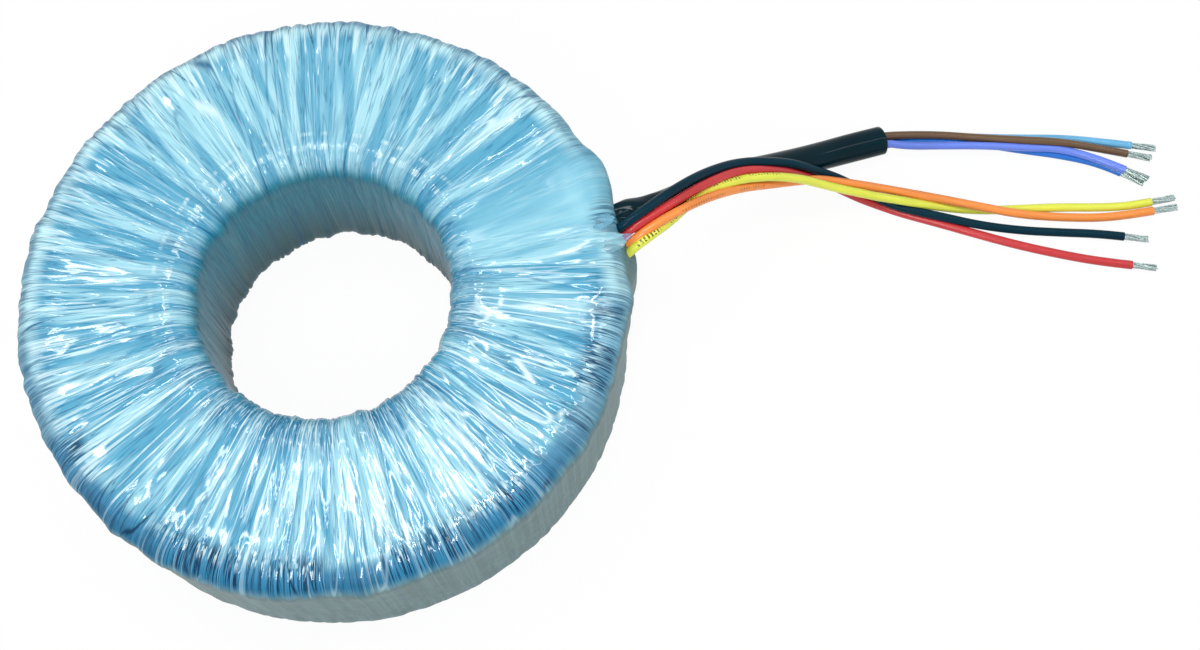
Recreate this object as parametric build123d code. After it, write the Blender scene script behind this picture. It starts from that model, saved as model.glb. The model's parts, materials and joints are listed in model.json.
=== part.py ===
from build123d import *
import math
import os

# Toroidal transformer with flying leads. All lengths are in millimetres.
# The ring's axis is Z, its base lies on Z = 0, and its leads run out towards +X.

# ---- the finished ring ----
outer_diameter = 140.0
bore_diameter = 60.0
height = 46.0

# ---- thickness of each wound layer: outside wall, end faces, bore wall ----
wrap_build = (0.5, 0.6, 1.0)
secondary_build = (1.2, 1.5, 2.4)
barrier_build = (0.3, 0.4, 0.6)
primary_build = (1.0, 1.3, 2.0)
core_cover_build = (0.3, 0.3, 0.4)
end_washer_thickness = 0.8
core_cover_corner = 0.7
corner_per_thickness = 2.6

# ---- the gap in the windings where their ends come out, as angles about Z ----
lead_gap_start = 0.5
lead_gap_end = 29.5

# ---- the swelling of the wrap over the lead joints, and the slit that the leads leave by ----
swelling_start = 13.5
swelling_end = 31.0
swelling_proud = 2.3
swelling_above_base = 5.0
swelling_below_top = 3.2
swelling_corner = 5.0
slit_start = 4.0
slit_end = 20.5
slit_below_top = 2.4
slit_depth = 13.1

# ---- wires ----
primary_wire = 0.8
secondary_wire = 1.1
primary_lead = 1.8
secondary_lead = 2.0
primary_conductor = 0.9
secondary_conductor = 1.1
conductor_clearance = 0.05
stripped_tip = 6.5
stripped_root = 2.0
corner_share = 0.45

# ---- the joints between winding ends and leads ----
joint_sleeve_wall = 0.35
joint_sleeve_clearance = 0.05
joint_sleeve_above_elbow = 0.7
joint_sleeve_grip = 2.5
tail_spacing = 2.0
tail_knee_inset = 0.8
tail_elbow_above_base = 7.8
tail_overlap_angle = 1.5

# ---- the sleeve over the primary leads ----
sleeve_diameter = 6.8
sleeve_wall = 0.6

# ---- routes, from the joint inside the wrap to the cut end of the insulation ----
# They are given for a ring of this radius and height. A wider ring moves them out along
# the exit's direction. A taller one lifts them: in full just outside the wall, less and
# less down to its foot on the inside, and less and less out to where they reach the floor.
route_ring_radius = 70.0
route_ring_height = 46.0
route_exit_angle = 13.0
route_lift_height = 31.0
route_lift_reach = 75.0
route_floor_reach = 140.0

sleeve_route = [
    (69.0, 19.2, 36.2), (74.1, 19.7, 36.6), (80.0, 22.4, 34.4), (89.2, 29.1, 28.8),
    (99.8, 34.6, 21.5), (110.8, 39.6, 14.4), (122.0, 44.4, 8.6), (131.4, 48.1, 5.2),
    (138.9, 50.4, 3.7),
]
secondary_routes = {
    "black": [
        (66.1, 14.2, 14.5), (66.1, 14.2, 20.0), (66.3, 14.0, 25.6), (66.8, 14.0, 31.0),
        (67.8, 14.1, 35.8), (70.6, 15.3, 40.0), (74.8, 18.1, 42.2), (81.3, 23.3, 40.8),
        (89.8, 29.9, 34.5), (99.5, 35.8, 27.0), (110.1, 38.1, 20.6), (115.5, 38.6, 17.0),
        (121.3, 39.0, 11.2), (126.8, 38.5, 7.4), (132.1, 36.4, 4.9), (137.2, 33.8, 3.6),
        (142.3, 31.5, 3.1), (152.4, 28.8, 2.8), (162.6, 26.3, 1.7), (173.1, 24.7, 1.0),
        (183.3, 23.7, 1.0), (193.6, 22.9, 1.0), (199.6, 21.9, 1.0),
    ],
    "red": [
        (66.7, 11.0, 14.5), (66.7, 11.0, 20.0), (66.9, 11.4, 25.6), (67.3, 11.9, 31.0),
        (68.4, 12.1, 35.8), (71.0, 13.2, 39.9), (75.2, 15.8, 42.0), (81.4, 20.4, 40.7),
        (89.5, 27.1, 35.2), (99.3, 33.4, 27.6), (110.0, 35.9, 20.0), (115.6, 37.0, 14.5),
        (121.5, 37.9, 8.4), (126.9, 36.5, 5.0), (132.2, 34.6, 2.8), (137.5, 32.9, 1.4),
        (142.6, 30.9, 1.0), (152.6, 27.5, 1.0), (162.6, 23.9, 1.0), (172.6, 20.5, 1.0),
        (182.6, 17.7, 1.0), (192.5, 15.3, 1.0), (200.6, 14.0, 1.0),
    ],
    "orange": [
        (67.1, 7.9, 14.5), (67.1, 7.9, 20.0), (67.3, 8.7, 25.6), (67.7, 9.5, 31.0),
        (68.8, 10.1, 35.8), (71.5, 11.1, 39.8), (75.6, 13.4, 41.9), (81.8, 17.2, 40.4),
        (89.6, 22.5, 35.3), (99.3, 29.3, 25.7), (107.4, 32.5, 19.6), (115.3, 34.7, 16.0),
        (121.0, 36.4, 12.4), (126.4, 36.7, 9.4), (131.8, 36.5, 7.5), (137.1, 36.1, 5.8),
        (142.4, 35.3, 4.8), (152.7, 33.2, 4.0), (162.9, 30.7, 3.6), (173.2, 28.6, 2.4),
        (183.8, 27.9, 1.0), (194.1, 27.3, 1.0), (202.0, 27.9, 1.0), (208.1, 28.7, 1.0),
    ],
    "yellow": [
        (67.4, 4.7, 14.5), (67.4, 4.7, 20.0), (67.6, 5.8, 25.6), (68.0, 7.0, 31.0),
        (69.0, 7.7, 35.7), (71.7, 8.7, 39.4), (75.8, 10.9, 40.6), (81.8, 16.0, 37.5),
        (89.2, 25.4, 33.4), (99.1, 30.8, 27.7), (107.3, 33.2, 23.0), (114.6, 34.0, 19.2),
        (120.5, 34.2, 14.6), (126.1, 34.4, 10.4), (131.6, 34.1, 7.8), (136.8, 33.3, 6.4),
        (142.4, 32.5, 5.6), (152.9, 31.6, 2.0), (163.4, 30.6, 1.0), (173.8, 30.7, 1.0),
        (184.2, 30.7, 1.0), (194.5, 30.2, 1.0), (202.3, 30.3, 1.0), (207.9, 31.2, 1.0),
    ],
}
primary_routes = {
    "brown": [
        (63.4, 26.9, 14.5), (63.4, 26.9, 19.2), (63.2, 23.4, 24.2), (63.4, 18.7, 29.3),
        (64.5, 18.8, 33.6), (67.9, 19.7, 36.8), (73.9, 20.6, 37.6), (79.8, 23.4, 35.3),
        (89.1, 30.1, 29.6), (99.8, 35.7, 22.3), (110.8, 40.6, 15.2), (122.0, 45.4, 9.5),
        (131.3, 49.1, 6.1), (138.8, 51.3, 4.6), (146.0, 51.7, 3.8), (154.9, 51.6, 3.1),
        (165.1, 50.3, 3.1), (175.3, 48.9, 3.9), (185.7, 47.9, 4.0), (196.5, 46.5, 1.6),
        (203.6, 45.0, 1.1),
    ],
    "violet": [
        (65.5, 21.3, 14.5), (65.5, 21.3, 19.2), (64.5, 19.2, 24.2), (63.9, 16.6, 29.3),
        (65.0, 17.0, 33.6), (68.3, 17.9, 36.8), (74.5, 18.8, 37.6), (80.8, 21.8, 35.3),
        (90.1, 28.5, 29.6), (100.7, 34.0, 22.3), (111.6, 38.9, 15.2), (122.7, 43.6, 9.5),
        (131.9, 47.2, 6.1), (139.3, 49.4, 4.6), (145.6, 48.4, 4.0), (154.5, 48.4, 3.4),
        (164.8, 48.1, 3.2), (175.4, 47.3, 2.8), (185.9, 46.7, 2.5), (195.8, 42.9, 2.8),
        (201.9, 39.8, 2.7),
    ],
    "sky_blue": [
        (64.5, 24.1, 14.5), (64.5, 24.1, 19.2), (64.8, 22.0, 24.2), (65.3, 18.8, 29.1),
        (66.2, 19.2, 32.6), (68.7, 19.9, 35.0), (73.7, 20.6, 35.6), (79.2, 23.0, 33.5),
        (88.3, 29.7, 28.0), (98.9, 35.2, 20.7), (110.0, 40.3, 13.6), (121.3, 45.2, 7.7),
        (130.9, 49.1, 4.3), (138.6, 51.3, 2.8), (146.0, 52.2, 1.7), (155.2, 52.3, 0.9),
        (165.7, 51.4, 0.9), (176.1, 50.7, 0.9), (186.6, 50.3, 0.9), (197.0, 48.8, 0.9),
        (205.0, 47.4, 0.9),
    ],
    "blue": [
        (66.4, 18.5, 14.5), (66.4, 18.5, 19.2), (66.2, 17.6, 24.2), (65.8, 16.9, 29.1),
        (66.7, 17.4, 32.6), (69.1, 18.1, 35.0), (74.3, 18.8, 35.6), (80.2, 21.4, 33.5),
        (89.3, 28.1, 28.0), (99.8, 33.5, 20.7), (110.8, 38.6, 13.6), (122.0, 43.4, 7.7),
        (131.5, 47.2, 4.3), (139.1, 49.5, 2.8), (146.1, 50.4, 2.2), (155.0, 50.1, 1.8),
        (165.4, 49.5, 1.4), (175.8, 47.4, 0.9), (186.1, 45.5, 0.9), (196.2, 42.6, 0.9),
        (201.3, 39.7, 0.9),
    ],
}

# ---- which leads each winding ends in, the nearer to its end of the gap first ----
winding_leads = {
    "primary_winding_a": ["brown", "sky_blue"],
    "primary_winding_b": ["violet", "blue"],
    "secondary_winding_a": ["red", "black"],
    "secondary_winding_b": ["yellow", "orange"],
}


def depth_of(builds, side):
    """Total thickness of the given layers on one side: 0 outside, 1 end face, 2 bore."""
    return sum(build[side] for build in builds)


# Each layer rounds the core cover's corner by its own outside thickness more. The cover's
# own corner can't be rounder than its wall over the square core allows.
core_cover_rounding = min(core_cover_corner, corner_per_thickness * min(core_cover_build))
layers_over_secondary_b = [wrap_build]
layers_over_secondary_a = layers_over_secondary_b + [secondary_build]
layers_over_barrier = layers_over_secondary_a + [secondary_build]
layers_over_primary_b = layers_over_barrier + [barrier_build]
layers_over_primary_a = layers_over_primary_b + [primary_build]
layers_over_core_cover = layers_over_primary_a + [primary_build]
layers_over_core = layers_over_core_cover + [core_cover_build]
edge_radius = core_cover_rounding + depth_of(layers_over_core_cover, 0)


def wall_radius(builds):
    """Radius of the outside wall below the given layers."""
    return outer_diameter / 2 - depth_of(builds, 0)


def ring_section(builds):
    """Section of the ring below the given layers, in the XZ plane."""
    outer = wall_radius(builds)
    bore = bore_diameter / 2 + depth_of(builds, 2)
    low = depth_of(builds, 1)
    width, tall = outer - bore, height - 2 * low
    corner = edge_radius - depth_of(builds, 0)
    square = len(builds) == len(layers_over_core)
    shape = Rectangle(width, tall) if square else RectangleRounded(width, tall, corner)
    return Plane.XZ * Pos((outer + bore) / 2, height / 2) * shape


def turned(section, start, end):
    """Section swept about Z from one angle to the other."""
    return Rot(0, 0, start) * revolve(section, Axis.Z, end - start)


def wall_block(inner, outer, low, high, start, end, corner=0.0):
    """Curved block about Z between two radii, two heights and two angles."""
    size = (outer - inner, high - low)
    shape = RectangleRounded(*size, corner) if corner else Rectangle(*size)
    section = Plane.XZ * Pos((inner + outer) / 2, (low + high) / 2) * shape
    return turned(section, start, end)


def layer(over, build):
    """Closed layer that goes all the way round the ring."""
    return turned(ring_section(over) - ring_section(over + [build]), 0, 360)


def gapped_layer(over, build):
    """Layer that goes round the ring from one side of the lead gap to the other."""
    section = ring_section(over) - ring_section(over + [build])
    return turned(section, lead_gap_end, lead_gap_start + 360)


def core():
    outer = wall_radius(layers_over_core)
    bore = bore_diameter / 2 + depth_of(layers_over_core, 2)
    low = depth_of(layers_over_core, 1) + end_washer_thickness
    return wall_block(bore, outer, low, height - low, 0, 360)


def end_washer(at_top):
    outer = wall_radius(layers_over_core)
    bore = bore_diameter / 2 + depth_of(layers_over_core, 2)
    low = depth_of(layers_over_core, 1)
    if at_top:
        low = height - low - end_washer_thickness
    return wall_block(bore, outer, low, low + end_washer_thickness, 0, 360)


def straight_wire(start, end, diameter):
    """Round wire between two points, with a round end at the second."""
    run = Vector(*end) - Vector(*start)
    place = Plane(origin=start, z_dir=run)
    bottom = (Align.CENTER, Align.CENTER, Align.MIN)
    rod = place * Cylinder(diameter / 2, run.length, align=bottom)
    return rod + Pos(*end) * Sphere(diameter / 2)


def at_angle(radius, angle, z):
    """Point at a radius, an angle about Z in degrees and a height."""
    a = math.radians(angle)
    return (radius * math.cos(a), radius * math.sin(a), z)


def winding_tail(over, build, wire, gap_side, joint, order):
    """End of a winding's wire, from the gap's side along the lower face and up to its joint."""
    level = depth_of(over, 1) + build[1] / 2
    flat_edge = outer_diameter / 2 - edge_radius - wire / 2
    track = flat_edge - order * tail_spacing
    knee = flat_edge + tail_knee_inset
    joint_radius = math.hypot(joint[0], joint[1])
    joint_angle = math.degrees(math.atan2(joint[1], joint[0]))
    round_wire = Plane.XZ * Pos(track, level) * Circle(wire / 2)
    if gap_side == lead_gap_end:
        along = turned(round_wire, joint_angle, lead_gap_end + tail_overlap_angle)
    else:
        along = turned(round_wire, lead_gap_start - tail_overlap_angle, joint_angle)
    turn = at_angle(track, joint_angle, level)
    bend = at_angle(knee, joint_angle, level)
    foot = at_angle(joint_radius, joint_angle, tail_elbow_above_base)
    top = joint[2] - stripped_root
    rise = Pos(*foot) * Cylinder(wire / 2, top - tail_elbow_above_base,
                                 align=(Align.CENTER, Align.CENTER, Align.MIN))
    tail = along + Pos(*turn) * Sphere(wire / 2)
    tail += straight_wire(turn, bend, wire)
    tail += straight_wire(bend, foot, wire)
    return tail + rise


def winding(name, over, build, wire, gap_side):
    """One winding: all its turns as one closed layer, and its two wire ends."""
    routes = {**primary_routes, **secondary_routes}
    body = gapped_layer(over, build)
    for order, lead_name in enumerate(winding_leads[name]):
        joint = placed(routes[lead_name])[0]
        body += winding_tail(over, build, wire, gap_side, joint, order)
    return body


def outer_wrap():
    """Film wrapped round the whole ring, swollen over the joints and slit for the leads."""
    outside = turned(ring_section([]), 0, 360)
    inside = turned(ring_section(layers_over_secondary_b), 0, 360)
    root = outer_diameter / 2 - edge_radius - 2
    proud = outer_diameter / 2 + swelling_proud
    film = wrap_build[0]
    end_turn = math.degrees(film / proud)
    low, high = swelling_above_base, height - swelling_below_top
    outside += wall_block(root, proud, low, high, swelling_start, swelling_end, swelling_corner)
    inside += wall_block(root, proud - film, low + film, high - film,
                         swelling_start + end_turn, swelling_end - end_turn,
                         swelling_corner - film)
    slit_top = height - slit_below_top
    slit = wall_block(outer_diameter / 2 - 2, proud + 1, slit_top - slit_depth, slit_top,
                      slit_start, slit_end)
    return outside - inside - slit


def placed(route):
    """A route, moved out with the ring's wall and lifted with its height."""
    wider = outer_diameter / 2 - route_ring_radius
    taller = height - route_ring_height
    out_x, out_y, _ = at_angle(wider, route_exit_angle, 0)
    points = []
    for x, y, z in route:
        reach = math.hypot(x, y)
        if reach < route_lift_reach:
            share = min(z / route_lift_height, 1)
        else:
            share = max(route_floor_reach - reach, 0) / (route_floor_reach - route_lift_reach)
        points.append((x + out_x, y + out_y, z + share * taller))
    return points


def corner_radii(route):
    """Largest radius for each corner: a set share of its shorter run each side."""
    points = [Vector(*point) for point in route]
    radii = []
    for before, here, after in zip(points, points[1:], points[2:]):
        arriving, leaving = here - before, after - here
        half_turn = math.radians(arriving.get_angle(leaving)) / 2
        shorter = min(arriving.length, leaving.length)
        radii.append(corner_share * shorter / math.tan(half_turn))
    return radii


def rounded_path(route, root_extra=0.0, tip_extra=0.0):
    """Straight runs joined by tangent arcs, lengthened at either end if asked."""
    points = [Vector(*point) for point in route]
    radii = corner_radii(route)
    if root_extra:
        points[0] -= (points[1] - points[0]).normalized() * root_extra
    if tip_extra:
        points[-1] += (points[-1] - points[-2]).normalized() * tip_extra
    return FilletPolyline(*points, radius=radii)


def tube(path, diameter, bore=0.0):
    """Round tube or rod along a path."""
    section = Circle(diameter / 2)
    if bore:
        section -= Circle(bore / 2)
    return sweep(Plane(origin=path @ 0, z_dir=path % 0) * section, path=path)


def report_tube(name, solid, path, route, diameter, bore):
    """Print a tube's length, smallest radius and volume against section times length."""
    area = math.pi * (diameter ** 2 - bore ** 2) / 4
    print(f"{name}: length {path.length:.1f}, diameter {diameter}, "
          f"smallest radius {min(corner_radii(route)):.1f}, "
          f"volume / (section x length) {solid.volume / (area * path.length):.4f}")
    print("   radii", " ".join(f"{radius:.1f}" for radius in corner_radii(route)))


def lead(colour, route, diameter, conductor):
    """A lead's insulation, the stranded conductor in it and the sleeve over its joint."""
    bore = conductor + 2 * conductor_clearance
    path = rounded_path(route)
    insulation = tube(path, diameter, bore)
    report_tube("lead_" + colour, insulation, path, route, diameter, bore)
    core_path = rounded_path(route, stripped_root, stripped_tip)
    sleeve_bore = diameter + 2 * joint_sleeve_clearance
    ring = Circle(sleeve_bore / 2 + joint_sleeve_wall) - Circle(sleeve_bore / 2)
    x, y, z = route[0]
    low = tail_elbow_above_base + joint_sleeve_above_elbow
    joint_sleeve = Pos(x, y, low) * extrude(ring, z + joint_sleeve_grip - low)
    return {
        "lead_" + colour: insulation,
        "conductor_" + colour: tube(core_path, conductor),
        "joint_sleeve_" + colour: joint_sleeve,
    }


def primary_sleeve():
    route = placed(sleeve_route)
    path = rounded_path(route)
    bore = sleeve_diameter - 2 * sleeve_wall
    solid = tube(path, sleeve_diameter, bore)
    report_tube("primary_sleeve", solid, path, route, sleeve_diameter, bore)
    return solid


def build_pieces():
    """Every piece of the transformer, by name."""
    pieces = {
        "core": core(),
        "lower_end_washer": end_washer(False),
        "upper_end_washer": end_washer(True),
        "core_insulation": layer(layers_over_core_cover, core_cover_build),
        "primary_winding_a": winding("primary_winding_a", layers_over_primary_a,
                                     primary_build, primary_wire, lead_gap_end),
        "primary_winding_b": winding("primary_winding_b", layers_over_primary_b,
                                     primary_build, primary_wire, lead_gap_end),
        "winding_barrier": gapped_layer(layers_over_barrier, barrier_build),
        "secondary_winding_a": winding("secondary_winding_a", layers_over_secondary_a,
                                       secondary_build, secondary_wire, lead_gap_start),
        "secondary_winding_b": winding("secondary_winding_b", layers_over_secondary_b,
                                       secondary_build, secondary_wire, lead_gap_start),
        "outer_wrap": outer_wrap(),
        "primary_sleeve": primary_sleeve(),
    }
    for colour, route in primary_routes.items():
        pieces.update(lead(colour, placed(route), primary_lead, primary_conductor))
    for colour, route in secondary_routes.items():
        pieces.update(lead(colour, placed(route), secondary_lead, secondary_conductor))
    return pieces


os.makedirs("parts", exist_ok=True)
for piece_name, piece in build_pieces().items():
    export_step(piece, os.path.join("parts", piece_name + ".step"))
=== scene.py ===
import json
import math
from itertools import accumulate

import bpy
import numpy as np
from bpy.props import FloatProperty, FloatVectorProperty, PointerProperty
from mathutils import Matrix, Vector

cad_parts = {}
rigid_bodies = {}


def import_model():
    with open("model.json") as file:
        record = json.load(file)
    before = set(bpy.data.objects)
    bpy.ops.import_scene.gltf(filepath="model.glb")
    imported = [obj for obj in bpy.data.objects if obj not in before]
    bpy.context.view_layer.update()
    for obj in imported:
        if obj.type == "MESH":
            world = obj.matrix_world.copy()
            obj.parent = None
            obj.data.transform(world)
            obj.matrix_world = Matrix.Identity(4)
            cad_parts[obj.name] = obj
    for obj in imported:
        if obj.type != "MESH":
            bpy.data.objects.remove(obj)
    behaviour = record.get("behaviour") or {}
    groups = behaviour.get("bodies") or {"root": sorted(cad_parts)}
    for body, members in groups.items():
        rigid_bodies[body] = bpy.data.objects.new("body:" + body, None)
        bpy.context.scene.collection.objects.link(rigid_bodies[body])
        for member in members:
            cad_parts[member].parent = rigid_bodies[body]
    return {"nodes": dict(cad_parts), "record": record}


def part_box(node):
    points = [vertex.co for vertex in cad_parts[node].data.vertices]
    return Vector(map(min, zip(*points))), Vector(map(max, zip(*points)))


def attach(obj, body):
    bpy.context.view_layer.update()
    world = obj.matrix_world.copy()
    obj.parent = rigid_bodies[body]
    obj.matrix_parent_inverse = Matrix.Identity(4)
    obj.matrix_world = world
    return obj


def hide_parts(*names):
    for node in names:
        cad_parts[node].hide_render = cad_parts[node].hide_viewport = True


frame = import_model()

bl_info = {
    "name": "Toroidal transformer",
    "version": (1, 0, 0),
    "blender": (4, 5, 0),
    "location": "View3D > Sidebar > Transformer",
    "description": "Dresses a toroidal transformer: film wrap, flying leads, sleeve and stripped tips",
    "category": "Object",
}

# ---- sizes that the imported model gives, in metres ----
MM = 0.001
WRAP_LOW, WRAP_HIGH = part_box("outer_wrap")
BORE = next(mount for mount in frame["record"]["mounts"] if mount["name"] == "bore")
RING_RADIUS = -WRAP_LOW.x
RING_HEIGHT = WRAP_HIGH.z
BORE_RADIUS = BORE["dims"]["r_mm"] * MM
WALL_STRAIGHT = BORE["dims"]["length_mm"] * MM
EDGE_RADIUS = (RING_HEIGHT - WALL_STRAIGHT) / 2

# ---- the ring's section: its halves, its middle and the halves of its flats, across and up ----
SECTION_HALF = ((RING_RADIUS - BORE_RADIUS) / 2, RING_HEIGHT / 2)
SECTION_MIDDLE = (RING_RADIUS + BORE_RADIUS) / 2
FLAT_HALF = (SECTION_HALF[0] - EDGE_RADIUS, SECTION_HALF[1] - EDGE_RADIUS)
CORNER_ARC = EDGE_RADIUS * math.pi / 2
# ---- lengths along the section, from the middle of the bore's wall to the middle of the outer wall ----
BORE_END = FLAT_HALF[1]
FACE_START = BORE_END + CORNER_ARC
FACE_END = FACE_START + 2 * FLAT_HALF[0]
RIM_END = FACE_END + CORNER_ARC
HALF_LOOP = RIM_END + FLAT_HALF[1]

# ---- where the leads break through the film ----
LEADS_ROOT = (0.0668, 0.0150, 0.0455)

# ---- routes of the sleeve and the leads, from inside the wrap to their cut ends, in metres ----

SLEEVE_ROUTE = [
    (0.0656, 0.0162, 0.0402), (0.0716, 0.0172, 0.0402), (0.0794, 0.0209, 0.0358),
    (0.0892, 0.0284, 0.0283), (0.0998, 0.0344, 0.0215), (0.1108, 0.0396, 0.0144),
    (0.1220, 0.0444, 0.0086), (0.1314, 0.0481, 0.0052), (0.1389, 0.0504, 0.0037),
]
SECONDARY_ROUTES = {
    "black": [
        (0.0661, 0.0142, 0.0145), (0.0661, 0.0142, 0.0200), (0.0663, 0.0140, 0.0256),
        (0.0662, 0.0132, 0.0346), (0.0667, 0.0127, 0.0402), (0.0698, 0.0136, 0.0434),
        (0.0746, 0.0168, 0.0438), (0.0813, 0.0226, 0.0410), (0.0898, 0.0299, 0.0345),
        (0.0995, 0.0358, 0.0270), (0.1101, 0.0381, 0.0206), (0.1155, 0.0386, 0.0170),
        (0.1213, 0.0390, 0.0112), (0.1268, 0.0385, 0.0074), (0.1321, 0.0364, 0.0049),
        (0.1372, 0.0338, 0.0036), (0.1423, 0.0315, 0.0031), (0.1524, 0.0288, 0.0028),
        (0.1626, 0.0263, 0.0017), (0.1731, 0.0247, 0.0010), (0.1833, 0.0237, 0.0010),
        (0.1936, 0.0229, 0.0010), (0.1996, 0.0219, 0.0010),
    ],
    "red": [
        (0.0667, 0.0110, 0.0145), (0.0667, 0.0110, 0.0200), (0.0669, 0.0114, 0.0256),
        (0.0669, 0.0113, 0.0326), (0.0676, 0.0114, 0.0380), (0.0704, 0.0127, 0.0410),
        (0.0750, 0.0153, 0.0419), (0.0815, 0.0199, 0.0402), (0.0896, 0.0266, 0.0350),
        (0.0993, 0.0334, 0.0276), (0.1100, 0.0359, 0.0200), (0.1156, 0.0370, 0.0145),
        (0.1215, 0.0379, 0.0084), (0.1269, 0.0365, 0.0050), (0.1322, 0.0346, 0.0028),
        (0.1375, 0.0329, 0.0014), (0.1426, 0.0309, 0.0010), (0.1526, 0.0275, 0.0010),
        (0.1626, 0.0239, 0.0010), (0.1726, 0.0205, 0.0010), (0.1826, 0.0177, 0.0010),
        (0.1925, 0.0153, 0.0010), (0.2006, 0.0140, 0.0010),
    ],
    "orange": [
        (0.0671, 0.0079, 0.0145), (0.0671, 0.0079, 0.0200), (0.0673, 0.0087, 0.0256),
        (0.0677, 0.0095, 0.0310), (0.0688, 0.0101, 0.0358), (0.0716, 0.0109, 0.0394),
        (0.0757, 0.0133, 0.0412), (0.0818, 0.0172, 0.0404), (0.0896, 0.0229, 0.0353),
        (0.0993, 0.0293, 0.0257), (0.1074, 0.0325, 0.0196), (0.1153, 0.0347, 0.0160),
        (0.1210, 0.0364, 0.0124), (0.1264, 0.0367, 0.0094), (0.1318, 0.0365, 0.0075),
        (0.1371, 0.0361, 0.0058), (0.1424, 0.0353, 0.0048), (0.1527, 0.0332, 0.0040),
        (0.1629, 0.0307, 0.0036), (0.1732, 0.0286, 0.0024), (0.1838, 0.0279, 0.0010),
        (0.1941, 0.0273, 0.0010), (0.2020, 0.0279, 0.0010), (0.2081, 0.0287, 0.0010),
    ],
    "yellow": [
        (0.0674, 0.0047, 0.0145), (0.0674, 0.0047, 0.0200), (0.0676, 0.0058, 0.0256),
        (0.0680, 0.0070, 0.0310), (0.0690, 0.0077, 0.0357), (0.0716, 0.0089, 0.0394),
        (0.0757, 0.0115, 0.0406), (0.0817, 0.0168, 0.0375), (0.0892, 0.0254, 0.0334),
        (0.0991, 0.0308, 0.0277), (0.1073, 0.0332, 0.0230), (0.1146, 0.0340, 0.0192),
        (0.1205, 0.0342, 0.0146), (0.1261, 0.0344, 0.0104), (0.1316, 0.0341, 0.0078),
        (0.1368, 0.0333, 0.0064), (0.1424, 0.0325, 0.0056), (0.1529, 0.0316, 0.0020),
        (0.1634, 0.0306, 0.0010), (0.1738, 0.0307, 0.0010), (0.1842, 0.0307, 0.0010),
        (0.1945, 0.0302, 0.0010), (0.2023, 0.0303, 0.0010), (0.2079, 0.0312, 0.0010),
    ],
}
PRIMARY_ROUTES = {
    "brown": [
        (0.0634, 0.0269, 0.0145), (0.0634, 0.0269, 0.0192), (0.0632, 0.0234, 0.0242),
        (0.0634, 0.0183, 0.0298), (0.0650, 0.0168, 0.0366), (0.0687, 0.0170, 0.0402),
        (0.0741, 0.0189, 0.0393), (0.0799, 0.0221, 0.0358), (0.0891, 0.0292, 0.0290),
        (0.0998, 0.0355, 0.0223), (0.1108, 0.0406, 0.0152), (0.1220, 0.0454, 0.0095),
        (0.1313, 0.0491, 0.0061), (0.1388, 0.0513, 0.0046), (0.1460, 0.0517, 0.0038),
        (0.1549, 0.0516, 0.0031), (0.1651, 0.0503, 0.0031), (0.1753, 0.0489, 0.0039),
        (0.1857, 0.0479, 0.0040), (0.1965, 0.0465, 0.0016), (0.2036, 0.0450, 0.0011),
    ],
    "violet": [
        (0.0655, 0.0213, 0.0145), (0.0655, 0.0213, 0.0192), (0.0645, 0.0192, 0.0242),
        (0.0639, 0.0162, 0.0298), (0.0655, 0.0162, 0.0366), (0.0695, 0.0164, 0.0402),
        (0.0749, 0.0180, 0.0393), (0.0807, 0.0211, 0.0358), (0.0900, 0.0280, 0.0290),
        (0.1007, 0.0338, 0.0223), (0.1116, 0.0389, 0.0152), (0.1227, 0.0436, 0.0095),
        (0.1319, 0.0472, 0.0061), (0.1393, 0.0494, 0.0046), (0.1456, 0.0484, 0.0040),
        (0.1545, 0.0484, 0.0034), (0.1648, 0.0481, 0.0032), (0.1754, 0.0473, 0.0028),
        (0.1859, 0.0467, 0.0025), (0.1958, 0.0429, 0.0028), (0.2019, 0.0398, 0.0027),
    ],
    "sky_blue": [
        (0.0645, 0.0241, 0.0145), (0.0645, 0.0241, 0.0192), (0.0648, 0.0220, 0.0242),
        (0.0653, 0.0184, 0.0291), (0.0645, 0.0168, 0.0364), (0.0679, 0.0171, 0.0400),
        (0.0733, 0.0189, 0.0393), (0.0791, 0.0220, 0.0350), (0.0883, 0.0290, 0.0275),
        (0.0989, 0.0350, 0.0207), (0.1100, 0.0403, 0.0136), (0.1213, 0.0452, 0.0077),
        (0.1309, 0.0491, 0.0043), (0.1386, 0.0513, 0.0028), (0.1460, 0.0522, 0.0017),
        (0.1552, 0.0523, 0.0009), (0.1657, 0.0514, 0.0009), (0.1761, 0.0507, 0.0009),
        (0.1866, 0.0503, 0.0009), (0.1970, 0.0488, 0.0009), (0.2050, 0.0474, 0.0009),
    ],
    "blue": [
        (0.0664, 0.0185, 0.0145), (0.0664, 0.0185, 0.0192), (0.0662, 0.0176, 0.0242),
        (0.0658, 0.0165, 0.0291), (0.0650, 0.0160, 0.0364), (0.0689, 0.0158, 0.0400),
        (0.0743, 0.0173, 0.0393), (0.0801, 0.0204, 0.0350), (0.0893, 0.0274, 0.0275),
        (0.0998, 0.0333, 0.0207), (0.1108, 0.0386, 0.0136), (0.1220, 0.0434, 0.0077),
        (0.1315, 0.0472, 0.0043), (0.1391, 0.0495, 0.0028), (0.1461, 0.0504, 0.0022),
        (0.1550, 0.0501, 0.0018), (0.1654, 0.0495, 0.0014), (0.1758, 0.0474, 0.0009),
        (0.1861, 0.0455, 0.0009), (0.1962, 0.0426, 0.0009), (0.2013, 0.0397, 0.0009),
    ],
}


# ---- settings ----


def number_setting(name, description, default, **kind):
    """A plain number, a share or a power."""
    return FloatProperty(name=name, description=description, default=default, **kind)


def length_setting(name, description, default):
    """A size in metres."""
    return number_setting(name, description, default, unit="LENGTH", precision=5)


def colour_setting(name, description, *display):
    """A colour, given as 8-bit display values."""
    return FloatVectorProperty(name=name, description=description, default=linear(*display)[:3],
                               size=3, subtype="COLOR", min=0, max=1)


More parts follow.
